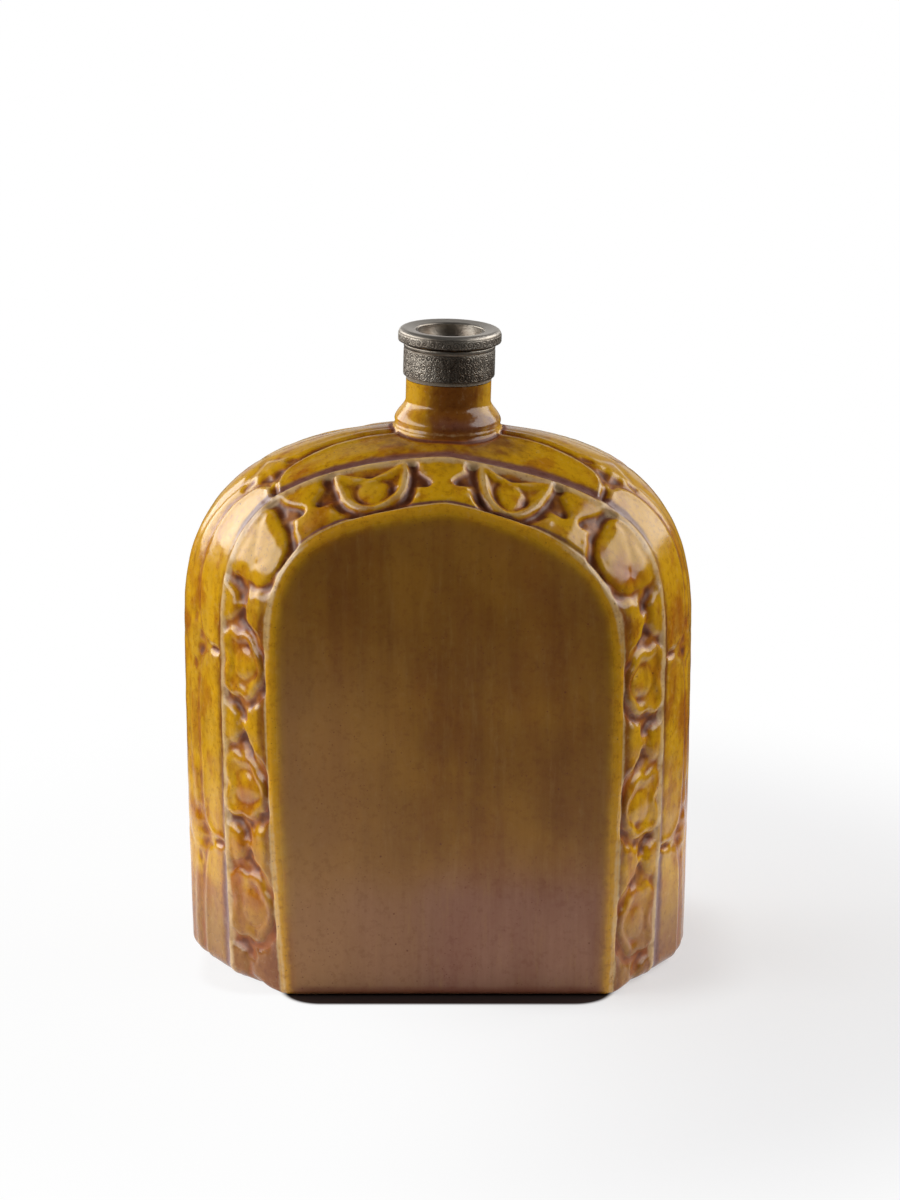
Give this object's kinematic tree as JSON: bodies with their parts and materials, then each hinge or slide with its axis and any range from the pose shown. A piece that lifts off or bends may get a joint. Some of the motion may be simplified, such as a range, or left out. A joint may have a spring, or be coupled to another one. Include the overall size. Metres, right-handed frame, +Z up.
{
  "type": "flask",
  "caption": "Arch-shaped moulded ceramic flask with flat panels, a relief border, a short neck and a metal pouring mount.",
  "frame": {"origin": "middle of the base, on the ground", "axes": "+Z up, the front panel faces -Y, +X to the right of someone looking at the front panel"},
  "size_m": [0.2128, 0.122, 0.27],
  "materials": {
    "glazed_clay": "glossy amber glaze, browner on the flat panels",
    "fired_clay": "bare fired clay",
    "engraved_metal": "dark aged silver or pewter, finely engraved",
    "bedding": "dull mineral cement"
  },
  "bodies": {
    "root": {"front_shell": "glazed_clay", "back_shell": "glazed_clay", "neck": "glazed_clay", "base_slab": "fired_clay", "base_coil": "fired_clay", "seam_coil_left": "fired_clay", "seam_coil_right": "fired_clay", "neck_coil": "fired_clay", "neck_cement": "bedding", "mount_sleeve": "engraved_metal", "mount_lip": "engraved_metal", "mount_liner": "engraved_metal"}
  },
  "joints": []
}
